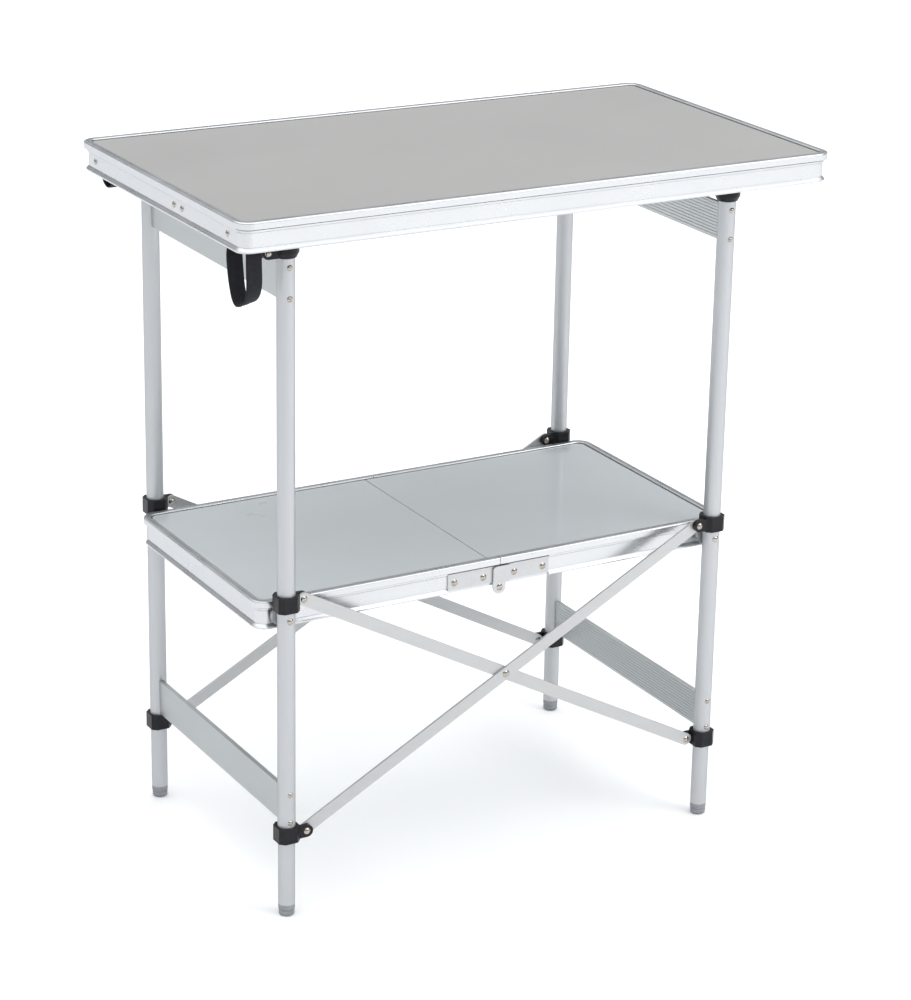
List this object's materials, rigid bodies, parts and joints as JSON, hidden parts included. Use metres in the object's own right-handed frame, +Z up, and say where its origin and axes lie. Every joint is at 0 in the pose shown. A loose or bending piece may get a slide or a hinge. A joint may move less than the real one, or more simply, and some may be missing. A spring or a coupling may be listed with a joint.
{
  "type": "camp kitchen table",
  "caption": "Folding camp kitchen table: rimmed tabletop on two tube end frames, crossed flat braces with sliding blocks, and a hinged shelf that folds upwards.",
  "frame": {"origin": "on the floor under the middle of the tabletop", "axes": "+X along the tabletop to the right, +Y across the table to the back, +Z up"},
  "size_m": [0.822, 0.462, 0.9],
  "materials": {
    "top_laminate": "matte grey laminate on board",
    "shelf_laminate": "glossy blue-grey laminate on board",
    "edge_profile": "satin anodised",
    "webbing": "woven black webbing",
    "black_plastic": "semi-matte black, lightly grained",
    "grey_plastic": "matte grey",
    "leg_tube": "satin anodised",
    "extrusion": "satin, ribbed on one face",
    "brace_bar": "satin flat bar",
    "rivet_steel": "dull, domed heads",
    "plate_steel": "zinc plated",
    "cast_saddle": "satin"
  },
  "bodies": {
    "tabletop": {"top_panel": "top_laminate", "top_rim": "edge_profile", "rim_rivets": "rivet_steel", "top_stiffener": "extrusion", "strap_brackets": "plate_steel", "strap_front": "webbing", "strap_back": "webbing", "top_hook_front": "black_plastic", "top_hook_back": "black_plastic"},
    "left_frame": {"leg_fl": "leg_tube", "leg_bl": "leg_tube", "foot_fl": "grey_plastic", "foot_bl": "grey_plastic", "cap_fl": "black_plastic", "cap_bl": "black_plastic", "crossbar_upper_left": "extrusion", "crossbar_lower_left": "extrusion", "frame_rivets_left": "rivet_steel", "lower_clamp_fl": "black_plastic", "lower_clamp_bl": "black_plastic", "lower_pins_left": "rivet_steel", "shelf_saddles_left": "cast_saddle", "shelf_pivots_left": "rivet_steel", "top_pins": "rivet_steel"},
    "right_frame": {"leg_fr": "leg_tube", "leg_br": "leg_tube", "foot_fr": "grey_plastic", "foot_br": "grey_plastic", "cap_fr": "black_plastic", "cap_br": "black_plastic", "crossbar_upper_right": "extrusion", "crossbar_lower_right": "extrusion", "frame_rivets_right": "rivet_steel", "lower_clamp_fr": "black_plastic", "lower_clamp_br": "black_plastic", "lower_pins_right": "rivet_steel", "shelf_saddles_right": "cast_saddle", "shelf_pivots_right": "rivet_steel"},
    "slider_left": {"mid_clamp_fl": "black_plastic", "mid_clamp_bl": "black_plastic", "mid_pins_left": "rivet_steel"},
    "slider_right": {"mid_clamp_fr": "black_plastic", "mid_clamp_br": "black_plastic", "mid_pins_right": "rivet_steel"},
    "brace_b": {"brace_b_front": "brace_bar", "brace_b_back": "brace_bar", "brace_centre_rivets": "rivet_steel"},
    "brace_a": {"brace_a_front": "brace_bar", "brace_a_back": "brace_bar"},
    "shelf_left": {"shelf_panel_left": "shelf_laminate", "shelf_rim_left": "edge_profile", "hinge_plates_left": "plate_steel", "hinge_rivets_left": "rivet_steel", "hinge_pins": "rivet_steel"},
    "shelf_right": {"shelf_panel_right": "shelf_laminate", "shelf_rim_right": "edge_profile", "hinge_plates_right": "plate_steel", "hinge_rivets_right": "rivet_steel"}
  },
  "joints": [
    {"name": "top_lift", "type": "slide", "parent": "left_frame", "child": "tabletop", "axis": [0, 0, 1], "range_m": [0, 0.12]},
    {"name": "frame_fold", "type": "hinge", "parent": "left_frame", "child": "brace_b", "pos_m": [-0.31, 0, 0.111], "axis": [0, -1, 0], "range_deg": [0, 58]},
    {"name": "brace_cross", "type": "hinge", "parent": "brace_b", "child": "brace_a", "pos_m": [-0.027, 0, 0.26325], "axis": [0, -1, 0], "range_deg": [-116.5, 0]},
    {"name": "right_frame_pivot", "type": "hinge", "parent": "brace_a", "child": "right_frame", "pos_m": [0.256, 0, 0.111], "axis": [0, -1, 0], "range_deg": [0, 58.5]},
    {"name": "slider_right_pivot", "type": "hinge", "parent": "brace_b", "child": "slider_right", "pos_m": [0.256, 0, 0.4155], "axis": [0, -1, 0], "range_deg": [-58.5, 0]},
    {"name": "slider_left_pivot", "type": "hinge", "parent": "brace_a", "child": "slider_left", "pos_m": [-0.31, 0, 0.4155], "axis": [0, -1, 0], "range_deg": [0, 58.5]},
    {"name": "shelf_left_pivot", "type": "hinge", "parent": "left_frame", "child": "shelf_left", "pos_m": [-0.334, 0, 0.3945], "axis": [0, -1, 0], "range_deg": [0, 85.5]},
    {"name": "shelf_right_hinge", "type": "hinge", "parent": "shelf_left", "child": "shelf_right", "pos_m": [-0.027, 0, 0.3734], "axis": [0, -1, 0], "range_deg": [-170.5, 0]}
  ],
  "couplings": [
    {"joint": "brace_cross", "follows": "frame_fold", "ratio": -2},
    {"joint": "right_frame_pivot", "follows": "frame_fold", "ratio": 1},
    {"joint": "slider_right_pivot", "follows": "frame_fold", "ratio": -1},
    {"joint": "slider_left_pivot", "follows": "frame_fold", "ratio": 1},
    {"joint": "shelf_left_pivot", "follows": "frame_fold", "ratio": 1.4655},
    {"joint": "shelf_right_hinge", "follows": "frame_fold", "ratio": -2.931}
  ]
}
